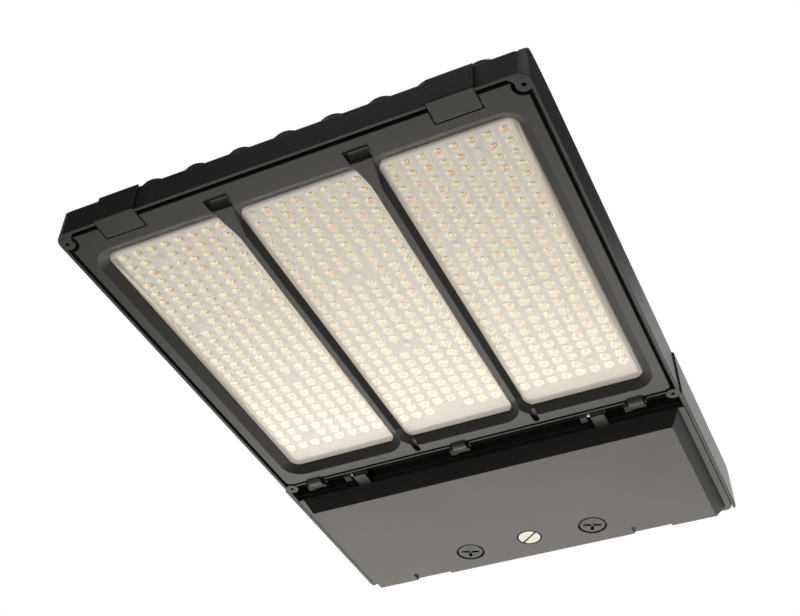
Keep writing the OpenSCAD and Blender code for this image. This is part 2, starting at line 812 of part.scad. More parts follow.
door_half = box_half - wall - 0.9;            // half width of the flange
pan_half = box_half - 7.9;                    // pan at the rim
pan_rear = body_len - 5.8;
front_slope = 5.8;

// sunken pan, grown outwards or shrunk by t all round
module pan(t, z0) {
    low = -door_drop - t;
    across = [[-pan_half - t, z0], [pan_half + t, z0],
        [pan_half - door_slope + t, low], [-pan_half + door_slope - t, low]];
    along = [[door_front - t, z0], [pan_rear + t, z0],
        [pan_rear - door_slope + t, low], [door_front + front_slope - t, low]];
    intersection() {
        along_y(0, big) polygon(across);
        along_x(-big, big) polygon(along);
    }
}

well_r = screw_head_r + 1.8;
well_depth = 3;
plug_well_r = plug_r + 0.9;

module door_arm(x) {
    difference() {
        union() {
            rod_x(x - arm_w / 2, x + arm_w / 2, hinge_y, hinge_z, knuckle_r);
            span(x - arm_w / 2, x + arm_w / 2, hinge_y - 2.2, door_front + 6, 0, flange_t);
        }
        rod_x(x - arm_w, x + arm_w, hinge_y, hinge_z, hinge_pin_r + pin_play);
    }
}

notch_depth = 2.7;
notch_len = 10.2;

module notch_box(x, grow) {
    y0 = pan_rear - door_slope - notch_len;
    span(x - notch_w / 2 - grow, x + notch_w / 2 + grow, y0 - grow, pan_rear + 2,
        -door_drop - 1, -door_drop + notch_depth + grow);
}

module driver_door() {
    color([0.33, 0.32, 0.3]) place() difference() {
        union() {
            difference() {
                union() {
                    pan(0, 0.5);
                    round_block(-door_half, door_half, door_front, body_len - 0.4, 0, flange_t, 6);
                    round_block(-door_half, door_half, door_front, door_front + 20, 0, flange_t, 1);
                }
                pan(-door_t, flange_t + 1);
            }
            // pads behind the sunken features
            intersection() {
                union() {
                    for (x = [-screw_x, screw_x])
                        rod_z(x, screw_y, -door_drop, -door_drop + well_depth + door_t, well_r + 2.5);
                    rod_z(0, plug_y, -door_drop, -4, 13.2);
                    both_sides() notch_box(notch_x, door_t);
                }
                pan(0, flange_t);
            }
            for (x = arm_x) door_arm(x);
        }
        for (x = [-screw_x, screw_x]) {
            rod_z(x, screw_y, -door_drop - 1, -door_drop + well_depth, well_r);
            rod_z(x, screw_y, -door_drop - 1, 0, screw_r + gap);
        }
        rod_z(0, plug_y, -door_drop - 1, -door_drop + 3.6, plug_well_r);
        rod_z(0, plug_y, -door_drop - 1, 0, plug_stem_r + 0.1);
        both_sides() notch_box(notch_x, 0);
    }
}

module door_gasket() {
    inset = 2.6;
    color([0.1, 0.1, 0.1]) place()
        ring(-door_half + 0.2, door_half - 0.2, door_front + 0.8, body_len - 1,
            flange_t, seat_z, 4, inset);
}

screw_face = -door_drop + 0.3;
head_t = 2.6;

// large captive screw with a cross slot
module door_screw(x) {
    slot = 15;
    slot_w = 2.6;
    color([0.12, 0.12, 0.12]) place() difference() {
        union() {
            rod_z(x, screw_y, screw_face, screw_face + head_t, screw_head_r);
            rod_z(x, screw_y, screw_face + 1, screw_boss_z + 5, screw_r);
        }
        for (a = [20, 110]) translate([x, screw_y, screw_face - 1]) rotate([0, 0, a])
            translate([-slot / 2, -slot_w / 2, 0]) cube([slot, slot_w, 2.8]);
    }
}

module door_screw_left() { door_screw(-screw_x); }
module door_screw_right() { door_screw(screw_x); }

module door_screw_retainers() {
    z0 = -door_drop + well_depth + door_t;
    color([0.7, 0.7, 0.7]) place() for (x = [-screw_x, screw_x]) difference() {
        rod_z(x, screw_y, z0, z0 + 1.2, 7);
        rod_z(x, screw_y, z0 - 1, z0 + 2, screw_r + 0.1);
    }
}

plug_head_t = 2.7;
seal_t = 1;

module sensor_plug() {
    z0 = -door_drop - 0.1;
    color([0.8, 0.79, 0.75]) place() difference() {
        union() {
            rod_z(0, plug_y, z0 + 0.5, z0 + plug_head_t, plug_r);
            translate([0, plug_y, z0]) cylinder(r1 = plug_r - 0.5, r2 = plug_r, h = 0.5);
            rod_z(0, plug_y, z0 + 1, -2, plug_stem_r);
        }
        translate([0, plug_y, z0 - 1]) rotate([0, 0, -38])
            translate([-plug_r - 1, -0.8, 0]) cube([2 * plug_r + 2, 1.6, 2.4]);
        rod_z(0, plug_y, z0 + 4, 0, plug_stem_r - 2);
    }
}

module plug_seal() {
    z0 = -door_drop - 0.1 + plug_head_t;
    color([0.1, 0.1, 0.1]) place() difference() {
        rod_z(0, plug_y, z0, z0 + seal_t, plug_r);
        rod_z(0, plug_y, z0 - 1, z0 + 2, plug_stem_r);
    }
}

// ---- inside the driver box -----------------------------------------------------------

module led_driver(s) {
    x = s * driver_x;
    color([0.75, 0.75, 0.76]) place() difference() {
        union() {
            round_block(x - driver_len / 2 + 10, x + driver_len / 2 - 10, driver_y - driver_w / 2,
                driver_y + driver_w / 2, roof_z - driver_h, roof_z, 4);
            round_block(x - driver_len / 2, x + driver_len / 2, driver_y - foot_half,
                driver_y + foot_half, roof_z - 2, roof_z, 3);
        }
        for (h = driver_holes) rod_z(h, driver_y, roof_z - 3, roof_z + 1, 2.1);
    }
}

module led_driver_left() { led_driver(-1); }
module led_driver_right() { led_driver(1); }

module driver_screws() {
    color([0.7, 0.7, 0.7]) place() for (x = driver_holes) {
        rod_z(x, driver_y, roof_z - 4.4, roof_z - 2, 3.4);
        rod_z(x, driver_y, roof_z - 2.5, roof_z + 1.8, 1.7);
    }
}

module surge_protector() {
    color([0.85, 0.85, 0.83]) place() round_block(surge_x0, surge_x1, module_y - module_d,
        module_y + module_d, roof_z - surge_h, roof_z, 4);
}

module terminal_block() {
    depth = 0.55 * module_d;
    color([0.92, 0.91, 0.87]) place() difference() {
        span(block_x - block_half, block_x + block_half, module_y - depth, module_y + depth,
            roof_z - block_h, roof_z);
        for (i = [-1 : 1]) {
            rod_z(block_x + i * pole_dx, module_y, roof_z - block_h - 1, roof_z - 12, 3.2);
            translate([block_x + i * pole_dx, module_y - depth - 1, roof_z - 8])
                rotate([-90, 0, 0]) cylinder(r = 1.9, h = depth);
        }
    }
}

module led_leads() {
    color([0.9, 0.9, 0.88]) place() for (m = [-1 : 1], k = [-1, 1]) {
        x = m * module_pitch + k * 2.5;
        z = deck_z + 4;
        end_x = m == 0 ? k * (driver_x - driver_len / 2 + 16) : x;
        end_y = driver_y - driver_w / 2;
        start_y = plate_rear - board_inset + 0.2;
        start_z = board_z + board_t / 2;
        // off the board's edge, over the plate's rim and up into the duct
        lead([
            [x, start_y, start_z], [x, start_y + 0.6, start_z], [x, start_y + 1.6, start_z + 2.3],
            [x, duct_y + 3, start_z + 3.6], [x, duct_y + 4.5, z],
            [x, end_y - 7, z], [end_x, end_y - 3, z], [end_x, end_y, z]
        ], 0.9);
    }
}

module lead_grommets() {
    color([0.08, 0.08, 0.08]) place() for (m = [-1 : 1]) difference() {
        x = m * module_pitch;
        y0 = box_y + 1;
        span(x - duct_half, x + duct_half, y0, y0 + box_wall + 1, deck_z - 1, deck_z + 9);
        for (k = [-1, 1]) translate([x + k * 2.5, y0 - 1, deck_z + 4]) rotate([-90, 0, 0])
            cylinder(r = 0.9, h = box_wall + 3);
    }
}

module supply_leads() {
    end = driver_y + driver_w / 2;
    face = module_y - 0.55 * module_d;
    color([0.1, 0.1, 0.1]) place() {
        for (i = [-1 : 1]) {
            x = block_x + i * pole_dx;
            low = roof_z - 14;
            lead([[x, face, roof_z - 8], [x, face - 0.15 * (face - end), roof_z - 8],
                [x - 6, end + 4, low], [x - 6, end, low]], 1.3);
        }
        for (i = [0, 1]) {
            y = module_y + module_d / 3 - 8 * i;
            z = roof_z - 8 - 5 * i;
            lead([[surge_x1, y, z], [surge_x1 + 8, y, z], [surge_x1 + 8 + 6 * i, end + 4, z],
                [surge_x1 + 8 + 6 * i, end, z]], 1.3);
        }
    }
}

module ground_screw() {
    color([0.2, 0.5, 0.25]) place() {
        rod_z(ground_x, ground_y, ground_z - 1, ground_z, 5);
        translate([ground_x, ground_y, ground_z - 4]) cylinder(r = 4, h = 3, $fn = 6);
        rod_z(ground_x, ground_y, ground_z - 0.5, roof_z - 1, 2);
    }
}

module wire_bushing() {
    color([0.08, 0.08, 0.08]) place()
        translate([0, body_len - 0.3, mount_z]) rotate([90, 0, 0]) difference() {
            union() {
                cylinder(r = entry_wall_r, h = rear_t);
                translate([0, 0, rear_t - 0.3]) cylinder(r = entry_wall_r + 3, h = 3);
            }
            translate([0, 0, -1]) cylinder(r = entry_r, h = rear_t + 5);
        }
}

housing();
hinge_pins();
lens_frame();
frame_gasket();
latch_left();
latch_right();
latch_pins();
lens_plate_left();
lens_plate_middle();
lens_plate_right();
lens_gaskets();
lens_screws();
led_board_left();
led_board_middle();
led_board_right();
board_screws();
thermal_pads();
led_leads();
lead_grommets();
led_driver_left();
led_driver_right();
driver_screws();
surge_protector();
terminal_block();
supply_leads();
ground_screw();
wire_bushing();
driver_door();
door_gasket();
door_screw_left();
door_screw_right();
door_screw_retainers();
sensor_plug();
plug_seal();
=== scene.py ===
# %% [markdown]
# # A shoebox area light, dressed on its CAD frame
# The light hangs from a pole arm and shines down. Its castings come from the CAD
# model as they are, so this script gives them their finishes, adds the clear
# lens plates with round domes, and sets the camera and the studio.

# %% Load the frame
import math
import bpy
import bmesh
from mathutils import Matrix, Vector


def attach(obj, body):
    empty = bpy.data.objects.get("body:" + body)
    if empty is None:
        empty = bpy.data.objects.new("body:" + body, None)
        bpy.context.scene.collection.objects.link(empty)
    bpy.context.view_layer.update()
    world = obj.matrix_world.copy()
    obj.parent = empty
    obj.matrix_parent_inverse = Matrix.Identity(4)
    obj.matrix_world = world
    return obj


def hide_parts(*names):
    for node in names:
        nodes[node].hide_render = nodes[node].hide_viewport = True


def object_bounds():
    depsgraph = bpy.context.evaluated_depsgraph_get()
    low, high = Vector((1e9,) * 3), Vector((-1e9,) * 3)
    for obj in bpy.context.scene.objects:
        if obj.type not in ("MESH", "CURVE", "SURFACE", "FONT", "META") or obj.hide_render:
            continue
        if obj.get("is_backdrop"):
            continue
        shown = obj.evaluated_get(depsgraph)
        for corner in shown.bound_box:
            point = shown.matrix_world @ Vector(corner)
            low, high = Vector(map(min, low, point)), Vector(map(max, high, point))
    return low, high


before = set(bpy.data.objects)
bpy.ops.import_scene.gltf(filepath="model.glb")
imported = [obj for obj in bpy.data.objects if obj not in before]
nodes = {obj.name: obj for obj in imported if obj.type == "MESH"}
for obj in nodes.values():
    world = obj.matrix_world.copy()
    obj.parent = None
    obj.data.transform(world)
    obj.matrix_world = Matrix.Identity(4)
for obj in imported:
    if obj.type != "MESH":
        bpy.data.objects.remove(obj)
cad_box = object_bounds()
scene = bpy.context.scene

# %% [markdown]
# ## One set of sizes
# The part was drawn from its front wall and its rim, in millimetres. Its own
# origin is the middle of the arm face. One small function turns a bench place
# into a place in the frame, so every number below reads like a bench drawing.

# %% Bench sizes to frame metres
MM = 0.001
TO_MM = 1000.0
ARM_Y = 494.0  # from the front wall back to the arm face
ARM_Z = 21.5  # from the rim up to the middle of the arm face


def at(x, y, z):
    """A bench place in millimetres as a place in the frame, in metres."""
    return Vector((x, y - ARM_Y, z - ARM_Z)) * MM


low, high = Vector(cad_box[0]), Vector(cad_box[1])
print("overall size in mm:", [round(TO_MM * v, 1) for v in (high - low)])

# %% [markdown]
# ## The camera
# The photograph was taken from below and in front of the light, a little to its
# right, with a short tele lens. The place and the turn come from matching the
# rim, the lens rows and the door, and the three axes are set as a matrix.

# %% Camera
camera_data = bpy.data.cameras.new("camera")
camera_data.sensor_width = 36.0
camera_data.lens = 54.877
camera_data.clip_end = 20.0
camera = bpy.data.objects.new("camera", camera_data)
scene.collection.objects.link(camera)
right = Vector((0.90475, 0.42489, 0.02984)).normalized()
back = Vector((0.33052, -0.65616, -0.67839)).normalized()
up = back.cross(right).normalized()
turn = Matrix((right, up, back)).transposed().to_4x4()
camera.matrix_world = Matrix.Translation((0.29987, -0.903294, -0.605501)) @ turn
scene.camera = camera
print("camera stands at", [round(v, 3) for v in camera.location])

# %% [markdown]
# ## The studio
# A product photograph of a dark casting needs large soft lamps, placed so that
# the flat faces mirror them a little, and black cards where a face should mirror
# dark. The floor lies well below the light, which is held by its arm. The world
# is white to the eye, to gloss and through clear plastic, and dim for diffuse
# light, so that it fills the shade without flattening it.

# %% Floor
FLOOR_Z = -1.35
bpy.ops.mesh.primitive_plane_add(size=14.0, location=(0.0, 0.0, FLOOR_Z))
floor = bpy.context.object
floor.name = "studio_floor"
floor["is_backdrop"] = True
print("floor", -FLOOR_Z, "m below the arm face")

# %% Lamps


def soft_lamp(name, place, target, width, height, power, colour=(1.0, 1.0, 1.0)):
    """A soft rectangular lamp that looks at a point."""
    data = bpy.data.lights.new(name, "AREA")
    data.shape = "RECTANGLE"
    data.size = width
    data.size_y = height
    data.energy = power
    data.color = colour
    lamp = bpy.data.objects.new(name, data)
    scene.collection.objects.link(lamp)
    lamp.location = place
    aim = Vector(target) - Vector(place)
    lamp.rotation_euler = aim.to_track_quat("-Z", "Y").to_euler()
    lamp.visible_camera = False


middle = (0.0, -0.25, 0.0)
warm_white = (1.0, 0.955, 0.885)
soft_lamp("door_lamp", (-0.31, 0.74, -0.74), (0.0, -0.2, 0.0), 1.3, 1.0, 15.0, warm_white)
soft_lamp("side_lamp", (0.42, 0.92, 0.69), middle, 0.7, 0.7, 3.0)
soft_lamp("top_lamp", (-0.3, -0.28, 1.5), middle, 1.0, 1.0, 10.0)

# %% Black cards


def flag(name, place, target, width, height):
    """A black card that only gloss sees, so that a face mirrors dark."""
    bpy.ops.mesh.primitive_plane_add(size=1.0, location=place)
    card = bpy.context.object
    card.name = name
    card.scale = (width, height, 1.0)
    aim = Vector(target) - Vector(place)
    card.rotation_euler = aim.to_track_quat("Z", "Y").to_euler()
    card.visible_camera = False
    card.visible_transmission = False
    card.visible_diffuse = False
    card.visible_shadow = False
    card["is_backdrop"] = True
    return card


flags = [flag("front_flag", (-0.73, -1.7, 1.45), middle, 3.4, 2.6),
         flag("low_front_flag", (0.0, -2.2, -0.2), middle, 4.0, 1.6),
         flag("right_flag", (1.9, -0.6, 0.1), middle, 3.2, 2.4),
         flag("top_flag", (0.85, 1.0, 1.45), middle, 2.2, 1.7)]
print("black cards:", [piece.name for piece in flags])

# %% World
world = bpy.data.worlds.new("studio_world")
scene.world = world
world.use_nodes = True
tree = world.node_tree
tree.nodes.clear()
sky = tree.nodes.new("ShaderNodeBackground")
wall = tree.nodes.new("ShaderNodeBackground")
sky.inputs["Color"].default_value = (0.95, 0.97, 1.0, 1.0)
sky.inputs["Strength"].default_value = 0.19
wall.inputs["Color"].default_value = (1.0, 1.0, 1.0, 1.0)
wall.inputs["Strength"].default_value = 1.0
rays = tree.nodes.new("ShaderNodeLightPath")
sees_white = rays.outputs["Is Camera Ray"]
for ray in ("Is Glossy Ray", "Is Transmission Ray"):
    either = tree.nodes.new("ShaderNodeMath")
    either.operation = "MAXIMUM"
    tree.links.new(sees_white, either.inputs[0])
    tree.links.new(rays.outputs[ray], either.inputs[1])
    sees_white = either.outputs[0]
blend = tree.nodes.new("ShaderNodeMixShader")
tree.links.new(sees_white, blend.inputs["Fac"])
tree.links.new(sky.outputs[0], blend.inputs[1])
tree.links.new(wall.outputs[0], blend.inputs[2])
output = tree.nodes.new("ShaderNodeOutputWorld")
tree.links.new(blend.outputs[0], output.inputs["Surface"])
scene.view_settings.view_transform = "Standard"
print("world: white to the camera, to gloss and through plastic, dim for diffuse light")

# %% [markdown]
# ## Shader maths as sums
# A finish is a handful of noises and masks, added and multiplied. Wrapping a
# socket in a small class lets Python write those sums: each + or * adds its Math
# node. Every other node comes from one method, which takes the node's type, its
# settings and what goes into its sockets.

# %% Sockets that add up


class Value:
    """A socket that can stand in a sum. Each operator adds one Math node."""

    def __init__(self, finish, socket):
        self.finish = finish
        self.socket = socket

    def math(self, operation, first, second):
        """One Math node between two sockets or numbers."""
        return self.finish.node("ShaderNodeMath", {"operation": operation},
                                {0: first, 1: second})

    def __add__(self, other):
        return self.math("ADD", self, other)

    def __sub__(self, other):
        return self.math("SUBTRACT", self, other)

    def __mul__(self, other):
        return self.math("MULTIPLY", self, other)

    def __truediv__(self, other):
        return self.math("DIVIDE", self, other)

    def __mod__(self, other):
        return self.math("FLOORED_MODULO", self, other)

    def __gt__(self, other):
        return self.math("GREATER_THAN", self, other)

    def __lt__(self, other):
        return self.math("LESS_THAN", self, other)

    def __radd__(self, other):
        return self.math("ADD", other, self)

    def __rsub__(self, other):
        return self.math("SUBTRACT", other, self)

    def __rmul__(self, other):
        return self.math("MULTIPLY", other, self)


class Finish:
    """One material: its nodes, its shader and its output."""

    def __init__(self, name):
        self.material = bpy.data.materials.new(name)
        self.material.use_nodes = True
        self.tree = self.material.node_tree
        self.tree.nodes.clear()
        self.place = self.node("ShaderNodeTexCoord", out="Object")

    def node(self, kind, settings=None, sockets=None, out=0):
        """Adds a node, sets it, feeds it, and returns one of its outputs."""
        made = self.tree.nodes.new(kind)
        for key, setting in (settings or {}).items():
            if key == "stops":
                self.set_stops(made.color_ramp, setting)
            else:
                setattr(made, key, setting)
        for key, value in (sockets or {}).items():
            self.feed(made.inputs[key], value)
        return Value(self, made.outputs[out]) if made.outputs else None

    def feed(self, socket, value):
        """Links a socket to another one, or sets its number or colour."""
        if isinstance(value, Value):
            self.tree.links.new(value.socket, socket)
        elif socket.type == "RGBA":
            socket.default_value = (*value, 1.0)
        else:
            socket.default_value = value

    def set_stops(self, ramp, stops):
        """Gives a grey ramp its stops, each a place and a level."""
        while len(ramp.elements) < len(stops):
            ramp.elements.new(1.0)
        for element, (place, level) in zip(ramp.elements, stops):
            element.position = place
            element.color = (level, level, level, 1.0)

    def axes(self):
        """The piece's own place in metres, as x, y and z."""
        split = self.node("ShaderNodeSeparateXYZ", None, {0: self.place}).socket.node
        return [Value(self, socket) for socket in split.outputs]

    def noise(self, scale, detail=2.0, roughness=0.5):
        """Noise from 0 to 1 over the piece's own place in metres."""
        return self.node("ShaderNodeTexNoise", None,
                         {"Vector": self.place, "Scale": scale, "Detail": detail,
                          "Roughness": roughness})

    def ramp(self, value, *stops):
        """A grey ramp: what value gives at each stop."""
        return self.node("ShaderNodeValToRGB", {"stops": stops}, {0: value})

    def mix(self, factor, first, second):
        """One colour laid over another by a mask."""
        return self.node("ShaderNodeMix", {"data_type": "RGBA"},
                         {0: factor, 6: first, 7: second}, out=2)

    def bump(self, height, distance, strength, normal=None):
        """A normal that a height tilts, on the plain one or on a given one."""
        sockets = {"Height": height, "Distance": distance, "Strength": strength}
        if normal:
            sockets["Normal"] = normal
        return self.node("ShaderNodeBump", None, sockets)

    def soft_edge(self, radius):
        """The rounded edge that a casting or a moulding has, as a normal."""
        return self.node("ShaderNodeBevel", {"samples": 4}, {"Radius": radius})

    def shade(self, **sockets):
        """The Principled shader, linked to the output."""
        named = {key.replace("_", " "): value for key, value in sockets.items()}
        shader = self.node("ShaderNodeBsdfPrincipled", None, named)
        self.node("ShaderNodeOutputMaterial", None, {"Surface": shader})

    def wear(self, names):
        """Gives CAD nodes this finish in place of their plain one."""
        for name in names:
            mesh = nodes[name].data
            mesh.materials.clear()
            mesh.materials.append(self.material)
        print(self.material.name, "on", ", ".join(names))


print("shader helpers ready")

# %% [markdown]
# ## Powder coat
# The castings are coated with a dark bronze powder, baked to a satin skin. Up
# close such a skin has a fine orange peel and a faint speckle, and edges are
# rounded because the casting's are. Noise at three sizes gives the speckle, the
# peel and slow cloudiness, and a bevel in the normal rounds the edges.

# %% Powder coat recipe
CAST_EDGE = 0.0009  # radius of the castings' edges, in metres


def powder_coat(name, dark, pale, roughness, peel):
    """Satin powder coat between two close colours."""
    coat = Finish(name)
    cloud = coat.noise(14.0, 3.0)
    speck = coat.noise(2600.0, 2.0)
    fine = coat.noise(950.0, 3.0, 0.55)
    tone = cloud * 0.55 + speck * 0.45
    colour = coat.mix(coat.ramp(tone, (0.3, 0.0), (0.7, 1.0)), dark, pale)
    skin = coat.bump(fine + 0.35 * speck, peel, 0.55, coat.soft_edge(CAST_EDGE))
    coat.shade(Base_Color=colour, Roughness=roughness - 0.05 + 0.1 * cloud,
               Normal=skin, Specular_IOR_Level=0.34)
    return coat


housing_coat = powder_coat("housing_powder_coat", (0.030, 0.0285, 0.026),
                           (0.041, 0.039, 0.036), 0.47, 0.00006)
housing_coat.wear(["housing"])
frame_coat = powder_coat("frame_powder_coat", (0.032, 0.030, 0.027),
                         (0.043, 0.041, 0.037), 0.45, 0.00005)
frame_coat.wear(["lens_frame", "latch_left", "latch_right"])
# The door wears the same paint as the housing. Its paler colours are painted light, for
# the lamp's light that falls on the door.
door_coat_lit_paler = powder_coat("door_powder_coat_painted_light", (0.036, 0.034, 0.031),
                        (0.047, 0.044, 0.041), 0.44, 0.00005)
door_coat_lit_paler.wear(["driver_door"])

# %% [markdown]
# ## Steel, nickel and black oxide
# The hinge pins and small screws are turned from bright steel wire, and the tool
# leaves a fine grain on them. The closure plug is nickel plated, a warm white
# metal, and the large door screws are blackened.

# %% Metals
TURNED_EDGE = 0.0003  # radius of the small turned edges, in metres
TOOL_MARK = 0.00003  # depth of the tool's grain, in metres


def turned_metal(name, colour, roughness, metallic=1.0):
    """Metal with a fine tool grain and a few smudges."""
    metal = Finish(name)
    smudge = metal.noise(120.0, 3.0)
    grain = metal.noise(900.0, 2.0)
    darker = tuple(0.82 * c for c in colour)
    tint = metal.mix(smudge * 0.7 + grain * 0.3, darker, colour)
    skin = metal.bump(grain, TOOL_MARK, 0.5, metal.soft_edge(TURNED_EDGE))
    metal.shade(Base_Color=tint, Metallic=metallic, Normal=skin,
                Roughness=roughness - 0.06 + 0.14 * smudge)
    return metal


turned_metal("bright_steel", (0.62, 0.62, 0.61), 0.32).wear(
    ["hinge_pins", "latch_pins", "lens_screws", "board_screws", "driver_screws",
     "door_screw_retainers"])
turned_metal("nickel_plate", (0.27, 0.26, 0.232), 0.33).wear(["sensor_plug"])
turned_metal("black_oxide", (0.030, 0.030, 0.031), 0.42, 0.6).wear(
    ["door_screw_left", "door_screw_right"])

# %% [markdown]
# ## Rubber, leads and mouldings
# Seals are matt silicone, leads have a slightly glossy skin, and the modules in
# the driver box are moulded or cast. They show only when a door hangs open, and
# they still get a grain of their own.

# %% Soft and moulded finishes
MOULDED_EDGE = 0.0004  # radius of moulded edges, in metres


def moulding(name, colour, roughness, grain_scale, depth):
    """Moulded rubber or plastic with a fine grain."""
    piece = Finish(name)
    grain = piece.noise(grain_scale, 3.0)
    cloud = piece.noise(45.0, 2.0)
    darker = tuple(0.85 * c for c in colour)
    tint = piece.mix(cloud * 0.6 + grain * 0.4, darker, colour)
    skin = piece.bump(grain, depth, 0.6, piece.soft_edge(MOULDED_EDGE))
    piece.shade(Base_Color=tint, Roughness=roughness - 0.05 + 0.1 * grain, Normal=skin)
    return piece


moulding("black_seal", (0.030, 0.030, 0.031), 0.72, 1400.0, 0.00006).wear(
    ["frame_gasket", "door_gasket", "plug_seal", "lead_grommets", "wire_bushing"])
moulding("white_seal", (0.74, 0.74, 0.72), 0.6, 1200.0, 0.00005).wear(["lens_gaskets"])
moulding("heat_pad", (0.42, 0.45, 0.50), 0.8, 800.0, 0.00008).wear(["thermal_pads"])
moulding("white_insulation", (0.78, 0.78, 0.75), 0.4, 600.0, 0.00003).wear(["led_leads"])
moulding("black_insulation", (0.035, 0.035, 0.037), 0.42, 600.0, 0.00003).wear(
    ["supply_leads"])
moulding("driver_casting", (0.60, 0.60, 0.61), 0.45, 500.0, 0.00008).wear(
    ["led_driver_left", "led_driver_right"])
moulding("white_moulding", (0.78, 0.78, 0.74), 0.42, 700.0, 0.00004).wear(
    ["surge_protector", "terminal_block"])
moulding("green_dye", (0.07, 0.29, 0.11), 0.38, 500.0, 0.00003).wear(["ground_screw"])

# %% [markdown]
# ## Lamp boards
# Each board is white and carries one small lamp under every dome. Two kinds of
# phosphor alternate, a pale yellow one and an orange one, so the light's colour
# can be blended. The chips repeat on a grid, so the remainder of the place over
# the pitch gives the place inside a cell, and a checker of rows and columns
# picks the phosphor.

# %% Boards and chips
ROW_PITCH = 9.885
COLUMN_PITCH = 11.1
MODULES = {"left": -101.5, "middle": 0.0, "right": 101.5}  # where its middle is
FIRST_ROW = 41.1
ROWS, COLUMNS = 25, 8
CHIP_FACE = 6.6  # bench height of the chips' lower faces
CHIP_EDGE = 0.2  # the part of a chip's height that is coloured with its face
SPOT_R_SQUARED = 1.7  # for the radius of the phosphor in the middle of a chip


def lamp_board(name, middle_x):
    """White board with alternating phosphors, for the module at middle_x."""
    board = Finish(name)
    x, y, z = board.axes()
    start_x = middle_x - COLUMNS * COLUMN_PITCH / 2
    start_y = FIRST_ROW - ROW_PITCH / 2 - ARM_Y
    across = (x * TO_MM - start_x) / COLUMN_PITCH
    along = (y * TO_MM - start_y) / ROW_PITCH
    cell_x = (across % 1.0 - 0.5) * COLUMN_PITCH
    cell_y = (along % 1.0 - 0.5) * ROW_PITCH
    spot = (cell_x * cell_x + cell_y * cell_y) < SPOT_R_SQUARED
    column = across - across % 1.0
    row = along - along % 1.0
    orange = (column + row) % 2.0
    phosphor = board.mix(orange, (0.70, 0.60, 0.12), (0.78, 0.35, 0.07))
    chip = board.mix(spot, (0.72, 0.69, 0.60), phosphor)
    fine = board.noise(900.0, 2.0)
    mask = board.mix(fine, (0.80, 0.765, 0.70), (0.85, 0.815, 0.75))
    on_chip = (z * TO_MM + ARM_Z) < (CHIP_FACE + CHIP_EDGE)
    colour = board.mix(on_chip, mask, chip)
    board.shade(Base_Color=colour, Roughness=0.42 + 0.12 * fine,
                Normal=board.bump(fine, 0.00004, 0.4))
    return board


for side, middle_x in MODULES.items():
    lamp_board("lamp_board_" + side, middle_x).wear(["led_board_" + side])

# %% [markdown]
# ## Clear lens plates
# Each window holds one moulded plate with a round dome under every lamp. The
# plate has to be a closed shell, or light would bend wrongly in it. So one cell
# is modelled, a cap filled out to its rectangle, and repeated by two arrays.
# Then the field is filled out to the plate's outline, which is raised into a tray.

# %% Modelling helpers


def deselect_all():
    """Leaves edit mode, with no object selected."""
    if bpy.context.object and bpy.context.object.mode != "OBJECT":
        bpy.ops.object.mode_set(mode="OBJECT")
    bpy.ops.object.select_all(action="DESELECT")


def choose(first, *others):
    """Selects these pieces alone, the first one active."""
    deselect_all()
    for piece in (first, *others):
        piece.select_set(True)
    bpy.context.view_layer.objects.active = first


def edit(piece):
    """Opens one piece in edit mode with nothing selected."""
    choose(piece)
    bpy.ops.object.mode_set(mode="EDIT")
    bpy.ops.mesh.select_all(action="DESELECT")


def pick(piece, kind, test):
    """Selects the edges or the faces that pass a test."""
    bpy.ops.mesh.select_mode(type={"edges": "EDGE", "faces": "FACE"}[kind])
    bpy.ops.mesh.select_all(action="DESELECT")
    shape = bmesh.from_edit_mesh(piece.data)
    chosen = [part for part in getattr(shape, kind) if test(part)]
    for part in chosen:
        part.select_set(True)
    shape.select_flush_mode()
    bmesh.update_edit_mesh(piece.data)


def pick_rims(piece):
    """Selects the edges of the piece's open rims."""
    pick(piece, "edges", lambda e: len(e.link_faces) < 2)


def fill_to(piece, rim):
    """Joins a loop to the piece, fills the strip up to it, and selects the open rim."""
    choose(piece, rim)
    bpy.ops.object.join()
    edit(piece)
    pick_rims(piece)
    bpy.ops.mesh.fill(use_beauty=False)
    pick_rims(piece)


def settle(piece):
    """Puts the piece's place into its mesh, so that its object is at the origin."""
    choose(piece)
    bpy.ops.object.transform_apply(location=True, rotation=True, scale=True)


def open_edges(piece):
    """How many edges aren't between two faces; a closed shell has none."""
    uses = {}
    for face in piece.data.polygons:
        for key in face.edge_keys:
            uses[key] = uses.get(key, 0) + 1
    return sum(1 for count in uses.values() if count != 2)


def rectangle(width, length, place):
    """A rectangle in millimetres at a place in the frame, open for edits."""
    deselect_all()
    bpy.ops.mesh.primitive_plane_add(size=1.0, location=place)
    piece = bpy.context.object
    piece.scale = (width * MM, length * MM, 1.0)
    settle(piece)
    edit(piece)
    bpy.ops.mesh.select_all(action="SELECT")
    return piece


def outline(x0, x1, y0, y1, z, radius):
    """A loop of edges: a rectangle with round corners, in bench millimetres."""
    loop = rectangle(x1 - x0, y1 - y0, at((x0 + x1) / 2, (y0 + y1) / 2, z))
    bpy.ops.mesh.bevel(affect="VERTICES", offset=radius * MM, segments=8)
    bpy.ops.mesh.select_all(action="SELECT")
    bpy.ops.mesh.delete(type="ONLY_FACE")
    bpy.ops.object.mode_set(mode="OBJECT")
    return loop


print("modelling helpers ready")

# %% Rows of lens cells
PLATE_Z = 4.8  # bench height of the plate's lower face, between the domes
DOME_R = 4.6
DOME_H = 2.0
DOME_BALL = (DOME_R ** 2 + DOME_H ** 2) / (2 * DOME_H)  # radius of the whole ball
DOME_SEGMENTS, DOME_RINGS = 24, 26
SIDE_CUTS = 5  # six edges a side, so that a cell has as many as the dome's rim
SEAM = 0.00002  # corners of neighbour cells this close become one, in metres


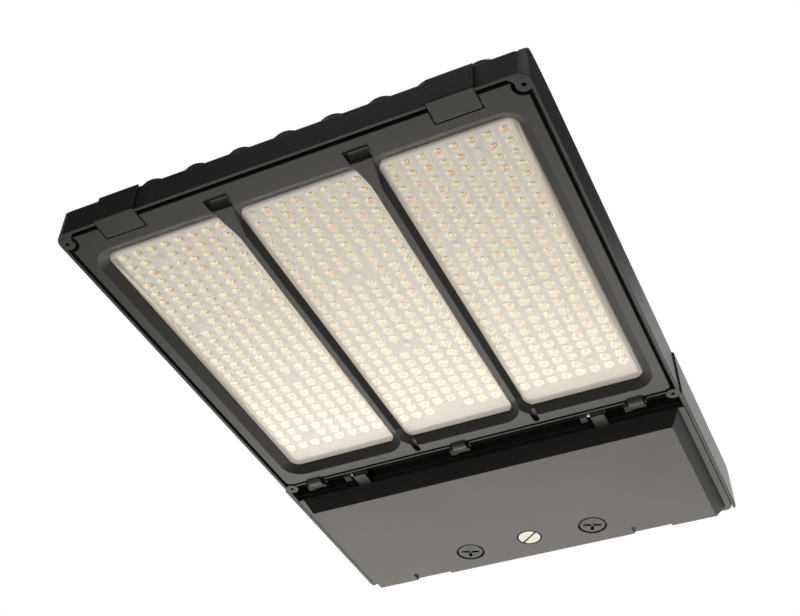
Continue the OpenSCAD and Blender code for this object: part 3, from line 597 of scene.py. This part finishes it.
def lens_cell():
    """A cap that hangs from its rectangle, the size of one cell, at the origin."""
    deselect_all()
    bpy.ops.mesh.primitive_uv_sphere_add(
        segments=DOME_SEGMENTS, ring_count=DOME_RINGS, radius=DOME_BALL * MM,
        location=(0, 0, (DOME_BALL - DOME_H) * MM))
    cap = bpy.context.object
    settle(cap)
    edit(cap)
    bpy.ops.mesh.select_all(action="SELECT")
    bpy.ops.mesh.bisect(plane_co=(0, 0, 0), plane_no=(0, 0, 1), clear_outer=True)
    cell_edge = rectangle(COLUMN_PITCH, ROW_PITCH, (0, 0, 0))
    bpy.ops.mesh.delete(type="ONLY_FACE")
    bpy.ops.mesh.select_all(action="SELECT")
    bpy.ops.mesh.subdivide(number_cuts=SIDE_CUTS)
    fill_to(cap, cell_edge)
    bpy.ops.object.mode_set(mode="OBJECT")
    return cap


def cell_centre(middle_x, row, column):
    """The middle of one cell, in the module at middle_x."""
    first_x = middle_x - (COLUMNS - 1) / 2 * COLUMN_PITCH
    return at(first_x + column * COLUMN_PITCH, FIRST_ROW + row * ROW_PITCH, PLATE_Z)


def lens_field(middle_x):
    """The cell repeated over rows and columns, merged at the seams."""
    field = lens_cell()
    field.location = cell_centre(middle_x, 0, 0)
    settle(field)
    across, along = (COLUMN_PITCH * MM, 0, 0), (0, ROW_PITCH * MM, 0)
    for count, step in ((COLUMNS, across), (ROWS, along)):
        row = field.modifiers.new("row", "ARRAY")
        row.count = count
        row.use_relative_offset = False
        row.use_constant_offset = True
        row.constant_offset_displace = step
        row.use_merge_vertices = True
        row.merge_threshold = SEAM
        bpy.ops.object.modifier_apply(modifier=row.name)
    return field


def flatten_cells(field, middle_x, cells):
    """Cells without a lamp are plain: their caps give way to a flat face."""
    inside, rim = DOME_R * MM, (DOME_R + 0.2) * MM
    below = at(0, 0, PLATE_Z - 0.01).z
    edit(field)
    for row, column in cells:
        centre = cell_centre(middle_x, row, column)
        pick(field, "faces", lambda f: min(v.co.z for v in f.verts) < below
             and (f.calc_center_median().xy - centre.xy).length < inside)
        bpy.ops.mesh.delete(type="FACE")
        pick(field, "edges", lambda e: len(e.link_faces) < 2
             and (e.verts[0].co.xy - centre.xy).length < rim)
        bpy.ops.mesh.edge_face_add()
    bpy.ops.object.mode_set(mode="OBJECT")


print("each plate has", ROWS, "rows of", COLUMNS, "cells")

# %% Lens plates
PLATE_T = 1.6  # thickness of the tray's floor and walls
FLANGE_Z, TRAY_TOP = 8.0, 9.2  # bench heights of the flange's two faces
TRAY_HALF = 49.0  # half the tray's width
TRAY_FRONT, TRAY_REAR = 30.9, 301.0
FLANGE_FRONT, FLANGE_REAR = 17.4, 307.3
FLANGE_SIDES = {"left": (-154.5, -51.05), "middle": (-50.45, 50.45),
                "right": (51.05, 154.5)}
TRAY_CORNER, FLANGE_CORNER, INNER_CORNER = 8.0, 3.0, 6.0
FOOT_ROUND = 0.9  # radius of the moulding's lower edge
LEVEL = 1e-6  # heights this close are the same, in metres
SPARE_CELLS = {  # row and column of the cells without a lamp
    "left": [(1, 2), (8, 1), (8, 6), (16, 4), (23, 2)],
    "middle": [(0, 0), (8, 3), (8, 4), (16, 3), (16, 4), (24, 3), (24, 4)],
    "right": [(1, 5), (8, 6), (8, 1), (16, 3), (23, 5)],
}


def pull_rim(height):
    """Draws the selected rim out to a wall, up by so many millimetres or down."""
    bpy.ops.mesh.extrude_region_move(TRANSFORM_OT_translate={"value": (0, 0, height * MM)})


def lens_plate(side, middle_x):
    """A closed tray with domes underneath and a flange round its top."""
    plate = lens_field(middle_x)
    plate.name = "dome_plate_" + side
    flatten_cells(plate, middle_x, SPARE_CELLS[side])
    left, right = middle_x - TRAY_HALF, middle_x + TRAY_HALF
    fill_to(plate, outline(left, right, TRAY_FRONT, TRAY_REAR, PLATE_Z, TRAY_CORNER))
    pull_rim(FLANGE_Z - PLATE_Z)
    # the moulding's lower edge, between the flat face and the new wall, is round
    foot = at(0, 0, PLATE_Z).z
    pick(plate, "edges", lambda e: all(abs(v.co.z - foot) < LEVEL for v in e.verts)
         and {round(abs(f.normal.z)) for f in e.link_faces} == {0, 1})
    bpy.ops.mesh.bevel(offset=FOOT_ROUND * MM, segments=3, affect="EDGES")
    fill_to(plate, outline(*FLANGE_SIDES[side], FLANGE_FRONT, FLANGE_REAR, FLANGE_Z,
                           FLANGE_CORNER))
    pull_rim(TRAY_TOP - FLANGE_Z)
    fill_to(plate, outline(left + PLATE_T, right - PLATE_T, TRAY_FRONT + PLATE_T,
                           TRAY_REAR - PLATE_T, TRAY_TOP, INNER_CORNER))
    pull_rim(PLATE_Z + PLATE_T - TRAY_TOP)
    bpy.ops.mesh.edge_face_add()
    bpy.ops.mesh.select_all(action="SELECT")
    bpy.ops.mesh.normals_make_consistent(inside=False)
    choose(plate)
    bpy.ops.object.shade_smooth_by_angle(angle=math.radians(30))
    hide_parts("lens_plate_" + side)
    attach(plate, "fixture")
    return plate


lens_plates = [lens_plate(side, middle_x) for side, middle_x in MODULES.items()]
for plate in lens_plates:
    print(plate.name, len(plate.data.polygons), "faces,", open_edges(plate), "open edges")

# %% [markdown]
# ## Clear polycarbonate
# The domes are clear, and the flat ground between them has a slight frost. The
# shader bends light less than the real plastic does, which keeps each chip in
# view through its dome. It lets the shadow rays of the lamps through, so that the
# boards behind it are lit.

# %% Lens finish
LENS_IOR = 1.26
FROST_FROM, FROST_TO = PLATE_Z - 0.1, PLATE_Z + 1.4  # bench heights of the flat ground
lens = Finish("clear_polycarbonate")
haze = lens.noise(70.0, 2.0)
ripple = lens.bump(lens.noise(160.0, 2.0), 0.0001, 0.2)
height = lens.axes()[2] * TO_MM + ARM_Z
flat = (height > FROST_FROM) * (height < FROST_TO)
clear = lens.node("ShaderNodeBsdfPrincipled", None, {
    "Base Color": (0.985, 0.98, 0.965), "Roughness": 0.04 + 0.06 * haze + 0.3 * flat,
    "Transmission Weight": 1.0, "IOR": LENS_IOR, "Coat Weight": 0.2 - 0.2 * flat,
    "Coat Roughness": 0.05, "Normal": ripple})
frost = lens.node("ShaderNodeBsdfPrincipled", None, {
    "Base Color": lens.mix(haze, (0.80, 0.765, 0.705), (0.85, 0.815, 0.75)),
    "Roughness": 0.5 + 0.1 * haze, "Specular IOR Level": 0.2, "Normal": ripple})
body = lens.node("ShaderNodeMixShader", None, {0: 0.04 + 0.5 * flat, 1: clear, 2: frost})
passing = lens.node("ShaderNodeBsdfTransparent", None, {"Color": (0.94, 0.935, 0.92)})
shadow = lens.node("ShaderNodeLightPath", out="Is Shadow Ray")
through = lens.node("ShaderNodeMixShader", None, {0: shadow, 1: body, 2: passing})
lens.node("ShaderNodeOutputMaterial", None, {"Surface": through})
for plate in lens_plates:
    plate.data.materials.append(lens.material)
print("lens finish on", len(lens_plates), "plates")

# %% [markdown]
# ## Floor and cards
# The floor is plain and pale, with a faint mottle so that it reads as a real one.
# The cards are matt black.

# %% Floor and card finishes
paper = Finish("studio_paper")
mottle = paper.noise(3.0, 3.0)
paper.shade(Base_Color=paper.mix(mottle, (0.80, 0.80, 0.79), (0.84, 0.84, 0.83)),
            Roughness=0.9 + 0.05 * mottle)
floor.data.materials.append(paper.material)
card = Finish("black_card")
fibre = card.noise(40.0, 2.0)
card.shade(Base_Color=card.mix(fibre, (0.012, 0.012, 0.012), (0.02, 0.02, 0.02)),
           Roughness=0.85 + 0.1 * fibre)
for piece in flags:
    piece.data.materials.append(card.material)
print(paper.material.name, "on the floor,", card.material.name, "on the cards")

# %% [markdown]
# ## Sizes and finish
# The dressed light must fill the same box as the CAD model, so both boxes are
# gathered and the size of the scene's model is printed.

# %% Size and finish
boxes = {"cad": [list(v) for v in cad_box], "scene": [list(v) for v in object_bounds()]}
print("size of the scene's model in mm:",
      [round(TO_MM * (b - a), 1) for a, b in zip(*boxes["scene"])])
